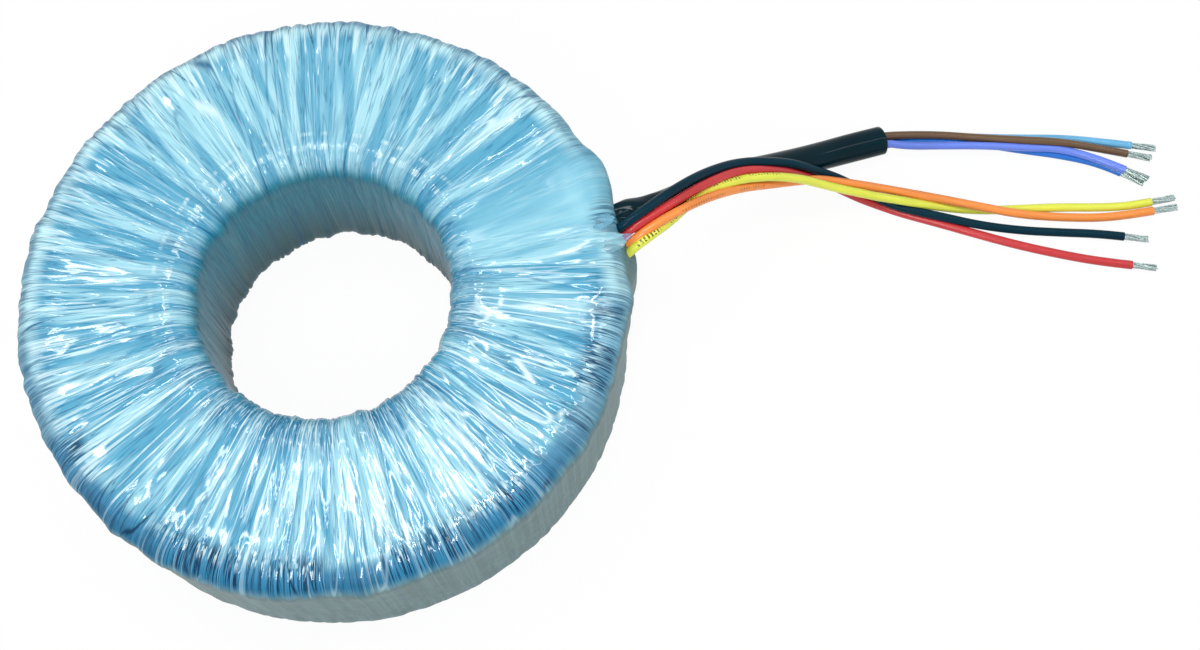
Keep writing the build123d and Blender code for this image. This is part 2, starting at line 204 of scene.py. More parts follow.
def linear(red, green, blue):
    """Scene colour of an 8-bit display colour."""
    def channel(value):
        value /= 255
        return value / 12.92 if value <= 0.04045 else ((value + 0.055) / 1.055) ** 2.4
    return (channel(red), channel(green), channel(blue), 1.0)


class FilmSettings(bpy.types.PropertyGroup):
    rib_depth: length_setting("Rib depth", "How far the gathered film stands proud in broad ribs", 0.00055)
    pleat_depth: length_setting("Pleat depth", "How far the film's pleats stand proud", 0.00080)
    crinkle_depth: length_setting("Crinkle depth", "Depth of the finest creases", 0.00016)
    roughness: number_setting("Roughness", "Roughness of the film's gloss", 0.24)
    face: colour_setting("Face", "Film that lies close over the winding", 78, 164, 198)
    # the pale colour is partly where the film stands off the winding and partly painted sheen on the raised
    # facets
    pale: colour_setting("Pale", "Film where it stands off the winding", 165, 221, 235)
    # the next two colours are painted shade in the bottom of creases and of shallow folds
    deep: colour_setting("Deep", "Film in the bottom of a crease", 0, 48, 82)
    fold_shade: colour_setting("Valley", "Film in the bottom of a shallow fold", 34, 108, 150)
    # the rim colour is painted light on the back of the outer edge; the rim colour at the front is deeper
    # blue, partly the film's layers seen edge-on and partly painted shade
    rim: colour_setting("Rim", "Film round the outer edge", 196, 244, 252)
    rim_front: colour_setting("Rim at the front", "Film round the front of the outer edge", 46, 134, 178)
    gathered: colour_setting("Gathered", "Film gathered in fine creases at the edges", 52, 146, 192)
    wall: colour_setting("Wall", "Film on the outer wall", 98, 127, 129)
    bore: colour_setting("Bore", "Film at the top of the bore's wall", 56, 160, 180)
    # the bore's foot colour is painted shade, darker deep down in the bore
    bore_foot_shade: colour_setting("Bore foot", "Film at the foot of the bore's wall", 52, 92, 84)
    shine: colour_setting("Shine", "Lines of light along the film's folds", 214, 243, 250)


class LeadSettings(bpy.types.PropertyGroup):
    secondary_diameter: length_setting("Secondary lead", "Diameter of a secondary lead", 0.00225)
    primary_diameter: length_setting("Primary lead", "Diameter of a primary lead", 0.00205)
    sleeve_diameter: length_setting("Sleeve", "Diameter of the sleeve", 0.0074)
    sleeve_wall: length_setting("Sleeve wall", "Thickness of the sleeve", 0.0006)
    strand_diameter: length_setting("Strand", "Diameter of one tinned strand", 0.00040)
    black: colour_setting("Black", "Insulation of the black lead", 2, 46, 62)
    red: colour_setting("Red", "Insulation of the red lead", 200, 48, 52)
    orange: colour_setting("Orange", "Insulation of the orange lead", 245, 146, 66)
    yellow: colour_setting("Yellow", "Insulation of the yellow lead", 226, 232, 78)
    brown: colour_setting("Brown", "Insulation of the brown lead", 100, 74, 48)
    violet: colour_setting("Violet", "Insulation of the violet lead", 104, 134, 234)
    sky_blue: colour_setting("Sky blue", "Insulation of the sky blue lead", 104, 180, 224)
    blue: colour_setting("Blue", "Insulation of the blue lead", 20, 112, 210)
    sleeve: colour_setting("Sleeve", "Vinyl of the sleeve", 0, 34, 44)
    tin: colour_setting("Tin", "Tinned strands", 184, 204, 202)


class StageSettings(bpy.types.PropertyGroup):
    floor: colour_setting("Floor", "The floor", 248, 248, 248)
    floor_glow: number_setting("Floor glow", "Share of the floor that is plain white", 0.95, min=0, max=1)
    key_power: number_setting("Key light", "Power of each of the two key lights", 1.35, unit="POWER")
    front_power: number_setting("Front light", "Power of the small front light", 2.1, unit="POWER")
    fill_power: number_setting("Fill light", "Power of the fill light", 0.4, unit="POWER")
    side_power: number_setting("Side light", "Power of the long light beside the leads", 1.05, unit="POWER")
    sky: number_setting("Sky", "Strength of the even light from all round", 0.36)


# ---- materials ----


class Term:
    """One output of a material's nodes. Arithmetic on terms adds Math nodes."""

    def __init__(self, nodes, socket):
        self.nodes = nodes
        self.socket = socket

    def __add__(self, other):
        return self.nodes.math("ADD", self, other)

    def __sub__(self, other):
        return self.nodes.math("SUBTRACT", self, other)

    def __rsub__(self, other):
        return self.nodes.math("SUBTRACT", other, self)

    def __mul__(self, other):
        return self.nodes.math("MULTIPLY", self, other)

    def __or__(self, other):
        """The larger of two masks."""
        return self.nodes.math("MAXIMUM", self, other)

    def __abs__(self):
        return self.nodes.math("ABSOLUTE", self)

    __radd__ = __add__
    __rmul__ = __mul__

    def rising(self, low, high):
        """0 below low, 1 above high and smooth between."""
        return self.nodes.add("ShaderNodeMapRange", {"interpolation_type": "SMOOTHSTEP"},
                              {"Value": self, "From Min": low, "From Max": high})

    def falling(self, low, high):
        """1 below low, 0 above high and smooth between."""
        return 1 - self.rising(low, high)

    def between(self, low, full, fading, high):
        """1 from full to fading, 0 below low and above high."""
        return self.rising(low, full) * self.falling(fading, high)

    def near(self, centre, inner, outer):
        """1 within inner of the centre, 0 further off than outer."""
        return abs(self - centre).falling(inner, outer)


class Nodes:
    """A node tree that expressions fill."""

    def __init__(self, tree):
        self.tree = tree

    def add(self, kind, settings=None, inputs=None, output=0):
        """Add a node, set it and its inputs, and return one of its outputs, or several."""
        node = self.tree.nodes.new(kind)
        for name, value in (settings or {}).items():
            setattr(node, name, value)
        for name, value in (inputs or {}).items():
            self.feed(node.inputs[name], value)
        if isinstance(output, tuple):
            return [Term(self, node.outputs[name]) for name in output]
        return Term(self, node.outputs[output])

    def feed(self, socket, value):
        """Link a term to a socket, or set the socket to a number or colour."""
        if isinstance(value, Term):
            self.tree.links.new(value.socket, socket)
        else:
            socket.default_value = value

    def math(self, operation, *values):
        return self.add("ShaderNodeMath", {"operation": operation}, dict(enumerate(values)))

    def vector_math(self, operation, first, second, output=0):
        return self.add("ShaderNodeVectorMath", {"operation": operation}, {0: first, 1: second}, output)

    def mix(self, share, first, second):
        """Colour between the first and the second by a share from 0 to 1."""
        return self.add("ShaderNodeMix", {"data_type": "RGBA"}, {0: share, 6: first, 7: second}, 2)

    def noise(self, vector, scale=1.0, detail=2.0, roughness=0.5):
        """Noise from 0 to 1. Three scales draw it out."""
        if isinstance(scale, tuple):
            vector, scale = self.vector_math("MULTIPLY", vector, scale), 1.0
        return self.add("ShaderNodeTexNoise", None,
                        {"Vector": vector, "Scale": scale, "Detail": detail, "Roughness": roughness})

    def coordinate(self, kind="Object"):
        return self.add("ShaderNodeTexCoord", output=kind)

    def axes(self, vector):
        """The three parts of a vector."""
        return self.add("ShaderNodeSeparateXYZ", None, {0: vector}, (0, 1, 2))

    def vector(self, *parts):
        return self.add("ShaderNodeCombineXYZ", None, dict(enumerate(parts)))

    def attribute(self, name, output="Vector"):
        """A value stored on the mesh."""
        return self.add("ShaderNodeAttribute", {"attribute_name": name}, output=output)

    def bump(self, height, distance, strength=1.0):
        return self.add("ShaderNodeBump", None,
                        {"Height": height, "Distance": distance, "Strength": strength})

    def plain_rays(self):
        """1 where a ray sees the stage itself: straight, mirrored or through a clear piece."""
        names = ("Is Camera Ray", "Is Glossy Ray", "Is Transmission Ray")
        straight, mirrored, through = self.add("ShaderNodeLightPath", output=names)
        return straight | mirrored | through


class Shader(Nodes):
    """A material built from nodes by expressions."""

    def __init__(self, name):
        self.material = bpy.data.materials.new(name)
        self.material.use_nodes = True
        super().__init__(self.material.node_tree)
        self.surface = self.tree.nodes["Principled BSDF"]

    def finish(self, **sockets):
        """Set the surface's sockets and return the material."""
        for name, value in sockets.items():
            self.feed(self.surface.inputs[name.replace("_", " ").title().replace("Ior", "IOR")], value)
        return self.material


def setting_colours(settings, *names):
    """Colour settings, each as four numbers."""
    return [(*getattr(settings, name), 1.0) for name in names]


def shaded(colour, share):
    """A colour darkened, or lightened above 1."""
    return tuple(min(channel * share, 1.0) for channel in colour[:3]) + (1.0,)


def vinyl_material(name, colour, roughness, specular, marks=(), skin_depth=0.00002):
    """Soft vinyl: faint clouding along its length, a fine skin, and rows of worn ticks at the marks."""
    s = Shader(name)
    along, around, _ = s.axes(s.coordinate("UV"))
    cloud = s.noise(s.vector(along * 60, around * 2, 0))
    base = s.mix(cloud.rising(0.3, 0.7), shaded(colour, 0.88), shaded(colour, 1.08))
    scuff = s.noise(s.vector(along * 260, around * 5, 3.0), 1.0, 3.0)
    for low, high, centre, tall, wear in marks:
        row = along.between(low, low + 0.0004, high - 0.0004, high)
        height = tall + s.noise(s.vector(along * 700, 0, 0), 1.0, 0.0) * 0.06
        across = (abs(around - centre) - height).falling(-0.012, 0.0)
        tick = s.math("SINE", along * 7000).rising(-0.25, 0.2)
        worn = s.noise(s.vector(along * 1400, around * 14, 0), 1.0, 0.0).rising(0.34, 0.48)
        base = s.mix(row * across * tick * worn * wear, base, shaded(colour, 0.07))
    skin = s.noise(s.coordinate(), 900.0)
    return s.finish(base_color=base, roughness=roughness + scuff * 0.08, specular_ior_level=specular,
                    normal=s.bump(skin, skin_depth, 0.3))


def tinned_material(name, colour):
    """Tinned copper strands, a little dull and uneven."""
    s = Shader(name)
    spots = s.noise(s.coordinate(), 2200.0, 3.0)
    base = s.mix(spots.rising(0.35, 0.7), shaded(colour, 0.6), shaded(colour, 1.15))
    return s.finish(base_color=base, metallic=0.55, roughness=0.22 + spots * 0.2,
                    normal=s.bump(spots, 0.00004, 0.5))


def film_material(settings):
    """Layers of clear film: deep blue in the creases by painted shade, pale where it stands off and partly
    painted sheen there, grey on the wall; painted highlights, painted side light and a painted shadow round
    the leads' root.
    """
    s = Shader("wrap film")
    folds, pleats, blisters = s.axes(s.attribute("folds"))
    calm, hairs, cluster = s.axes(s.attribute("zones"))
    strength = s.attribute("strength", "Fac")
    flow = s.attribute("flow")
    lengthways, sideways, along = s.axes(flow)
    past_bore, past_face = along - FACE_START, along - FACE_END
    place = s.coordinate()
    z = s.axes(place)[2]
    grain = s.vector_math("ADD", flow, s.vector(0, 0, z))
    fine = s.noise(grain, (84.0, 84.0, 60.0), 2.0, 0.55)
    hair = s.noise(grain, (230.0, 230.0, 40.0))
    crimp = s.noise(grain, (125.0, 125.0, 300.0), 1.0)
    broad = s.noise(grain, (10.0, 10.0, 26.0))
    middle = s.noise(grain, (42.0, 42.0, 34.0), 2.0, 0.6)
    crumple = s.noise(place, 420.0, 3.0, 0.6)

    # where each part of the ring is
    lively = 1 - calm
    front = sideways.falling(-0.75, -0.1)
    near_side = (lengthways * 0.6 - sideways * 0.8).rising(0.2, 0.9)
    far_side = 1 - near_side
    in_front = front | near_side
    bore = along.falling(BORE_END + 0.0005, BORE_END + 0.0048)
    wall = (along + near_side * 0.0012).rising(RIM_END - 0.0035, RIM_END + 0.0012)
    off_wall = 1 - wall
    band = past_face.rising(-0.0012, 0.0022) * off_wall * (1 - calm * 0.9)
    turned = past_face.rising(0.0020, 0.0058)
    inner_edge = along.rising(BORE_END - 0.002, BORE_END + 0.002) * past_bore.falling(-0.001, 0.006)
    outer_edge = band | past_face.rising(-0.005, 0.0) * off_wall
    edge = outer_edge | inner_edge

    # the face: facets between a close and a pale blue; the pale is partly the film standing off the winding
    # and partly painted sheen
    face_blue, pale, deep, fold_shade = setting_colours(settings, "face", "pale", "deep", "fold_shade")
    facet = (folds * 0.6 + pleats * 0.35 + (broad - 0.5) + (middle - 0.5) * 1.1).rising(-0.5, 0.55)
    # painted light and shade: lighter towards the back, darker at the front and towards the two sides
    painted_side_light = sideways.rising(0.2, 0.9) * 0.12 - front * 0.10 - abs(lengthways).rising(0.6, 0.95) * 0.18
    facet = facet * (1 - calm * 0.55) + calm * 0.42 + painted_side_light * lively
    face = s.mix(facet, face_blue, pale)
    face = s.mix(blisters.rising(0.22, 0.30) * hairs * 0.4, face, shaded(face_blue, 0.9))
    face = s.mix(fine.rising(0.5, 0.72) * 0.3 * (1 - calm * 0.3), face, shaded(face_blue, 0.72))

    # the rim: painted light at the back, deeper blue at the front (partly the film's layers, partly painted
    # shade), painted shade in its pleats and a darker painted shade band where it turns away
    rim_lit_back, rim_front = setting_colours(settings, "rim", "rim_front")
    shade = (pleats + fine - 0.5).rising(-0.2, 0.6)
    rim = s.mix(shade * (0.22 + front * 0.25), s.mix(front, rim_lit_back, rim_front), shaded(rim_front, 0.6))
    rim = s.mix(hair.rising(0.47, 0.56) * 0.3, rim, shaded(rim_front, 0.7))
    # painted shade along the far part of the outer corner, where the film turns away
    edge_shade = past_face.rising(0.0022, 0.0042) * (0.4 + fine.rising(0.42, 0.58) * 0.6)
    edge_shade_colour = s.mix(far_side, shaded(deep, 1.6), shaded(fold_shade, 0.75))
    rim = s.mix(edge_shade * (0.35 + far_side * 0.4), rim, edge_shade_colour)

    # the wall and the bore; the bore darker towards its foot by painted shade, with painted shade in its
    # creases
    wall_grey, bore_top, bore_foot_shade = setting_colours(settings, "wall", "bore", "bore_foot_shade")
    layers = crumple.rising(0.35, 0.7) * 0.35 + middle.rising(0.35, 0.65) * 0.4
    layers = layers + fine.rising(0.4, 0.65) * 0.25
    grey = s.mix(layers, shaded(wall_grey, 0.82), shaded(wall_grey, 1.2))
    wall_line = fine.near(0.52, 0.0, 0.03) * middle.rising(0.4, 0.6)
    grey = s.mix(wall_line * 0.35, grey, shaded(wall_grey, 1.7))
    inside = s.mix(z.rising(0.002, RING_HEIGHT - 0.012), bore_foot_shade, bore_top)
    inside = s.mix(hair.rising(0.38, 0.6) * 0.45, inside, shaded(deep, 1.5))
    base = s.mix(bore, s.mix(wall, s.mix(band, face, rim), grey), inside)

    # clusters of fine creases at both edges, and painted shade: dark lines in the bottom of the folds,
    # darkest at the front of the outer edge
    gathered = cluster * edge * off_wall * (1 - bore * 0.6) * lively * (0.4 + in_front * 0.6)
    gathered = gathered * (1 - inner_edge * 0.2)
    base = s.mix(gathered * 0.5, base, *setting_colours(settings, "gathered"))
    fold_line = abs(folds).falling(0.0, 0.12) * strength
    pleat_line = abs(pleats).falling(0.0, 0.15) * (1 - strength) * (edge * 0.5 + 0.5)
    thin_line = middle.near(0.47, 0.004, 0.026) * 0.6
    crease_line = fine.near(0.5, 0.018, 0.05) * gathered * 0.95
    dark = (fold_line | pleat_line) * (0.65 + edge * 0.3) | thin_line | crease_line
    dark = dark * (1 - wall * 0.8) * (1 - bore * 0.3) * (1 - calm * 0.9)
    base = s.mix(dark, base, s.mix(outer_edge * (0.25 + in_front * 0.75), fold_shade, deep))

    # painted highlights: white lines and lenses on the face
    edge_line = folds.near(0.52, 0.0, 0.08) * blisters.rising(-0.1, 0.5)
    bright_line = middle.near(0.57, 0.004, 0.024) * blisters.rising(-0.2, 0.4) * 0.8
    streak = fine.rising(0.56, 0.62) * middle.rising(0.46, 0.56) * (sideways.falling(-0.3, 0.6) * 0.65 + 0.35)
    lens = past_bore.rising(0.006, 0.012) * past_face.falling(-0.006, -0.001)
    lens = lens * (broad + middle).rising(1.06, 1.22) * sideways.falling(-0.4, 0.3) * 0.8
    hair_line = blisters.near(0.24, 0.0, 0.075) * hairs
    white = (edge_line | bright_line | streak | lens) * (1 - calm * 0.6) * 0.85 | hair_line
    white = white * off_wall * (1 - bore) * (1 - band * 0.7)

    # glints on the gathered film, and in rows where the film turns over the edges
    glint = crimp.rising(0.58, 0.66) * gathered * sideways.falling(0.1, 0.7)
    glint = glint * past_face.falling(0.0002, 0.0030)
    first_row = past_bore.near(-0.0008, 0.0003, 0.0009)
    second_row = past_bore.near(0.0026, 0.0002, 0.0008)
    inner_rows = (first_row | second_row * 0.7) * (sideways - lengthways * 0.5).rising(-0.2, 0.4)
    inner_rows = inner_rows * middle.rising(0.42, 0.52) * 1.2
    front_row = (past_face + (middle - 0.5) * 0.003).near(-0.0002, 0.0002, 0.0009)
    front_row = front_row * front * middle.rising(0.42, 0.58) * 0.8
    crest = abs(folds).rising(0.15, 0.5) * hair.rising(0.42, 0.56)
    rim_glint = past_face.between(-0.0055, -0.0030, 0.0010, 0.0030)
    rim_glint = rim_glint * middle.rising(0.53, 0.60) * fine.rising(0.42, 0.52) * far_side * lively
    rows = (inner_rows | front_row) * crest * lively | rim_glint * 0.8
    base = s.mix(white | glint * 0.8 | rows * 0.95, base, *setting_colours(settings, "shine"))

    # painted shadow round the leads' root, in streaks
    root = s.vector_math("DISTANCE", place, LEADS_ROOT, "Value").falling(0.002, 0.0065)
    root = root * (fine + hair - 0.5).rising(0.38, 0.66)
    base = s.mix(root * 0.75, base, shaded(fold_shade, 0.55))

    dull = wall * 0.88 | bore * 0.75 | turned * 0.88
    relief = (fine * 0.10 + hair * 0.22) * (1 - calm * 0.8 + wall)
    relief = relief + abs(hair - 0.46) * gathered * 2.5 + crumple * wall * 0.5
    return s.finish(base_color=base, roughness=settings.roughness + dull * 0.3 + hair * 0.08,
                    specular_ior_level=0.1, coat_roughness=0.08,
                    coat_weight=(1 - dull) * (1 - dark * 0.9) * lively * 0.9,
                    normal=s.bump(relief, 0.00025, 0.5))


def loose_film_material(name, colour, clearness):
    """A single layer of clear film, drawn into streaks, glossy; the streaks are also painted near white as
    highlights, and its folds carry painted shade and light.
    """
    s = Shader(name)
    place = s.coordinate()
    streak = s.noise(place, (260.0, 1100.0, 500.0))
    fold = s.noise(place, (160.0, 480.0, 300.0), 1.0)
    # painted shade and light across the folds, and painted highlight streaks in near white
    base = s.mix(fold.rising(0.38, 0.62), shaded(colour, 0.78), shaded(colour, 1.2))
    base = s.mix(streak.rising(0.58, 0.70) * 0.8, base, linear(232, 246, 250))
    return s.finish(base_color=base, roughness=0.14 + fold * 0.1, alpha=1 - clearness,
                    normal=s.bump(streak, 0.0002, 0.5))


STRIP_THICKNESS = 0.00035


def steel_strip_material():
    """Wound steel strip: fine circles on the faces."""
    s = Shader("core steel")
    x, y, _ = s.axes(s.coordinate())
    turn = s.math("SINE", s.math("SQRT", x * x + y * y) * (2 * math.pi / STRIP_THICKNESS))
    cloud = s.noise(s.coordinate(), 90.0)
    base = s.mix(turn.rising(-0.6, 0.6) * 0.5 + cloud * 0.3, linear(92, 95, 100), linear(148, 151, 156))
    return s.finish(base_color=base, metallic=0.85, roughness=0.35 + cloud * 0.2,
                    normal=s.bump(turn, 0.00004))


def wire_material(name, turns):
    """Enamelled copper wire laid side by side through the bore."""
    s = Shader(name)
    x, y, _ = s.axes(s.coordinate())
    wire = s.math("SINE", s.math("ARCTAN2", y, x) * turns)
    cloud = s.noise(s.coordinate(), 120.0)
    base = s.mix(wire.rising(-0.9, 0.4), linear(96, 44, 22), linear(206, 120, 72))
    base = s.mix(cloud.rising(0.45, 0.75) * 0.4, base, linear(150, 74, 40))
    return s.finish(base_color=base, metallic=0.8, roughness=0.24 + cloud * 0.1,
                    normal=s.bump(wire, 0.0002))


def sheet_material(name, pale, dark, roughness, scale):
    """Plain sheet or moulded plastic with faint clouding and a fine grain."""
    s = Shader(name)
    cloud = s.noise(s.coordinate(), scale, 3.0)
    grain = s.noise(s.coordinate(), scale * 12)
    base = s.mix(cloud.rising(0.3, 0.7), linear(*dark), linear(*pale))
    return s.finish(base_color=base, roughness=roughness + cloud * 0.15, normal=s.bump(grain, 0.00005, 0.5))


# ---- making pieces ----


def deselect_all():
    for piece in bpy.context.view_layer.objects:
        piece.select_set(False)


def dress(piece, material, stands_for=()):
    """Give a finished piece its material and slot and its body, and hide the CAD nodes it stands for."""
    piece.data.materials.clear()
    piece.data.materials.append(material)
    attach(piece, "root")
    if stands_for:
        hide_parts(*stands_for)
    return piece


def new_piece(name, data):
    piece = bpy.data.objects.new(name, data)
    bpy.context.scene.collection.objects.link(piece)
    return piece


def smooth_mesh(name, vertices, faces, sharp):
    """A smooth mesh with its edges sharp past an angle in degrees."""
    mesh = bpy.data.meshes.new(name)
    mesh.from_pydata(vertices, [], faces)
    mesh.shade_smooth()
    mesh.set_sharp_from_angle(angle=math.radians(sharp))
    return mesh


def route_line(points, steps=8):
    """Closely spaced points on the smooth line that a route's points control."""
    curve = bpy.data.curves.new("route", "CURVE")
    curve.dimensions = "3D"
    curve.resolution_u = steps
    spline = curve.splines.new("NURBS")
    spline.points.add(len(points) - 1)
    for control, point in zip(spline.points, points):
        control.co = (*point, 1.0)
    spline.order_u = 3
    spline.use_endpoint_u = True
    guide = bpy.data.objects.new("route", curve)
    mesh = bpy.data.meshes.new_from_object(guide)
    line = [vertex.co.copy() for vertex in mesh.vertices]
    bpy.data.objects.remove(guide)
    bpy.data.curves.remove(curve)
    bpy.data.meshes.remove(mesh)
    return line


def line_lengths(line):
    """Length from the start of a line to each of its points."""
    return list(accumulate(((b - a).length for a, b in zip(line, line[1:])), initial=0.0))


def line_frames(line):
    """Direction, side and up at each point of a line, turning as little as it can."""
    ahead, behind = line[1:] + line[-1:], line[:1] + line[:-1]
    directions = [(after - before).normalized() for after, before in zip(ahead, behind)]
    side = directions[0].cross(Vector((0, 0, 1)))
    if side.length < 0.1:
        side = Vector((0, -1, 0))
    frames = []
    for direction in directions:
        side = (side - direction * side.dot(direction)).normalized()
        frames.append((direction, side, direction.cross(side)))
    return frames


def add_tube(vertices, faces, rings):
    """Add a closed tube to a mesh. Each ring is its middle, its axes and its radii all round."""
    base, sides = len(vertices), len(rings[0][2])
    for point, (_, side, up), radii in rings:
        for k, radius in enumerate(radii):
            angle = 2 * math.pi * k / sides
            vertices.append(point + (side * math.cos(angle) + up * math.sin(angle)) * radius)
    last = len(vertices) - sides
    for low in range(base, last, sides):
        for k in range(sides):
            n = (k + 1) % sides
            faces.append((low + k, low + n, low + sides + n, low + sides + k))
    faces.append(tuple(reversed(range(base, base + sides))))
    faces.append(tuple(range(last, last + sides)))


def tube_piece(name, line, shape, sides, ends):
    """Tube along a line. shape(length, angle) is its radius; ends are rings of (inset, radius)."""
    frames, lengths = line_frames(line), line_lengths(line)
    places = [(0, inset, radius) for inset, radius in reversed(ends[0])]
    places += [(i, 0.0, None) for i in range(len(line))]
    places += [(-1, -inset, radius) for inset, radius in ends[1]]
    rings = []
    for i, forward, radius in places:
        radii = [radius or shape(lengths[i], 2 * math.pi * k / sides) for k in range(sides)]
        rings.append((line[i] + frames[i][0] * forward, frames[i], radii))
    vertices, faces, corners = [], [], []
    add_tube(vertices, faces, rings)
    reached = [lengths[i] for i, _, _ in places]
    for low, high in zip(reached, reached[1:]):
        for k in range(sides):
            near, far = k / sides, (k + 1) / sides
            corners += [(low, near), (low, far), (high, far), (high, near)]
    corners += [(reached[0], k / sides) for k in reversed(range(sides))]
    corners += [(reached[-1], k / sides) for k in range(sides)]
    mesh = smooth_mesh(name, vertices, faces, 50)
    mesh.uv_layers.new(name="UVMap").data.foreach_set("uv", np.array(corners, np.float32).ravel())
    return new_piece(name, mesh)


# ---- leads: gloss, a cut end's lip, the share of the width that is bare wire, and how deep it shows ----
VINYL_GLOSS, DARK_GLOSS = 0.45, 0.09
LIP, LIP_PROUD = 0.00006, 0.00004
WIRE_SHARE = 0.8
WIRE_SHOWN = 0.0006
# ---- rows of worn ticks: start and end along the lead (m), place round it, half height, darkness ----
MARKS = {
    "yellow": ((0.0275, 0.0345, 0.86, 0.07, 0.9), (0.0375, 0.0460, 0.86, 0.07, 0.9),
               (0.054, 0.064, 0.80, 0.05, 0.8), (0.066, 0.076, 0.78, 0.05, 0.7)),
    "orange": ((0.040, 0.056, 0.95, 0.02, 0.5), (0.062, 0.072, 0.95, 0.02, 0.5),
               (0.090, 0.102, 0.76, 0.04, 0.3)),
}


def add_leads(settings, routes, diameter):
    """The insulation and stripped tips of leads that are alike, along their routes."""
    for name, route in routes.items():
        line = route_line(route)
        radius, bore = diameter / 2, WIRE_SHARE * diameter / 2
        ends = (((0.0, radius - LIP),), ((-LIP_PROUD, radius - LIP), (-LIP_PROUD, bore), (WIRE_SHOWN, bore)))
        insulation = tube_piece("insulation_" + name, line, lambda length, angle: radius, 18, ends)
        gloss = DARK_GLOSS if name == "black" else VINYL_GLOSS
        vinyl = vinyl_material(name + " vinyl", *setting_colours(settings, name), 0.2, gloss,
                               MARKS.get(name, ()))
        dress(insulation, vinyl, ["lead_" + name])
        tip = add_tip(settings, name, line, bore * 0.96)


# ---- the stripped tips: length shown, length in the insulation, twist, flattening, a strand's cuts ----
TIP_LENGTH = 0.0064
TIP_ROOT = 0.0008
TIP_TURN = 1.5
TIP_FLATTENING = 0.30
STRAND_STEPS, STRAND_SIDES = 12, 6


def add_tip(settings, name, line, bundle_radius):
    """The tinned strands that stand out of a lead's end, twisted and cut square."""
    strand = settings.strand_diameter / 2
    forward, side, up = line_frames(line)[-1]
    start = line[-1] - forward * TIP_ROOT
    draw = np.random.default_rng(sum(ord(letter) for letter in name))
    vertices, faces = [], []
    for ring_radius, count in ((0.0, 1), ((bundle_radius - strand) * 0.5, 6), (bundle_radius - strand, 12)):
        for k in range(count):
            phase = 2 * math.pi * k / count + 0.25 * draw.standard_normal()
            cut = TIP_LENGTH + TIP_ROOT - 0.0005 * draw.random()
            spread = 0.12 * draw.random()
            strand_line = []
            for i in range(STRAND_STEPS + 1):
                t = i / STRAND_STEPS
                turn = phase + TIP_TURN * t
                grown = ring_radius * (1 + spread * t * t)
                flat_side = side * math.cos(turn) * grown * (1 + TIP_FLATTENING * t)
                strand_line.append(start + forward * (cut * t) + flat_side + up * math.sin(turn) * grown)
            add_tube(vertices, faces, [(point, axes, [strand] * STRAND_SIDES)
                                       for point, axes in zip(strand_line, line_frames(strand_line))])
    tip = new_piece("tip_" + name, smooth_mesh("tip_" + name, vertices, faces, 60))
    tin = tinned_material(name + " tin", *setting_colours(settings, "tin"))
    return dress(tip, tin, ["conductor_" + name])


# ---- the sleeve: how far its root is creased and pressed flat, and its end's rounding ----
CREASED_LENGTH = 0.012
SLEEVE_FLATTENING = 0.30
SLEEVE_CREASE = 0.0011
SLEEVE_ROUNDING = 0.00012
SLEEVE_OPEN_LENGTH = 0.006


def add_sleeve(settings):
    """The vinyl sleeve: creased where it leaves the wrap, round and open at its far end."""
    line = route_line(SLEEVE_ROUTE, 12)
    radius = settings.sleeve_diameter / 2
    inner = radius - settings.sleeve_wall

    def section(length, angle):
        root = math.exp(-(length / CREASED_LENGTH) ** 2)
        flat = 1 - SLEEVE_FLATTENING * root * (0.5 - math.cos(2 * angle))
        swollen = 0.12 * math.exp(-((length - 0.0065) / 0.003) ** 2)
        pinched = 0.35 * math.exp(-(length / 0.0035) ** 2)
        folds = math.sin(3 * angle + length * 420) * 0.6 + math.sin(5 * angle - length * 610 + 1) * 0.4
        slack = math.sin(angle * 2 + length * 160) * 0.00007
        return radius * flat * (1 + swollen - pinched) - SLEEVE_CREASE * root * (0.5 + 0.5 * folds) + slack

    ends = (((0.0, inner * 0.9),),
            ((-SLEEVE_ROUNDING, radius - SLEEVE_ROUNDING), (-SLEEVE_ROUNDING, inner + SLEEVE_ROUNDING),
             (0.0, inner), (SLEEVE_OPEN_LENGTH, inner)))
    piece = tube_piece("vinyl_sleeve", line, section, 40, ends)
    vinyl = vinyl_material("sleeve vinyl", *setting_colours(settings, "sleeve"), 0.08, DARK_GLOSS,
                           skin_depth=0.000006)
    dress(piece, vinyl, ["primary_sleeve"])


# ---- the film wrap: how finely it is cut, and its noises as seed, cells round the ring, length of a
# cell along the section (m) and lean (radians) ----
AROUND_STEPS = 1120
SECTORS = 20
CORNER_CUTS = 5
FACE_CUTS = 18
WALL_CUTS = 12
FILM_NOISES = (
    (11, 132, 0.046, 0.06),  # folds
    (12, 240, 0.034, -0.09),  # pleats
    (13, 500, 0.020, 0.03),  # crinkles
    (14, 80, 0.022, 0.0),  # where folds are stronger than pleats
    (15, 58, 0.060, 0.03),  # ribs
    (17, 124, 0.026, 0.05),  # blisters
    (19, 54, 0.050, 0.02),  # clusters of fine creases
)
# ---- the calm part of the ring: its angle and width in degrees ----
CALM_PART = (19, 12)
# ---- what stands proud of it: height (m), angle and width (degrees) ----
HAIR_LINES = (0.00020, -25, 36)
SLEEVE_SWELLING = (0.0023, 23.5, 6.0)
LEADS_SWELLING = (0.0034, 6.0, 5.0)
FRONT_SWELLING = (0.0008, -3.0, 3.0)


def rise(value, low, high):
    """0 below low, 1 above high and smooth between."""
    share = np.clip((value - low) / (high - low), 0, 1)
    return share * share * (3 - 2 * share)


def near_angle(angle, centre, width):
    """1 at an angle in degrees, falling away to both sides."""
    away = (np.degrees(angle) - centre + 180) % 360 - 180
    return np.exp(-(away / width) ** 2)


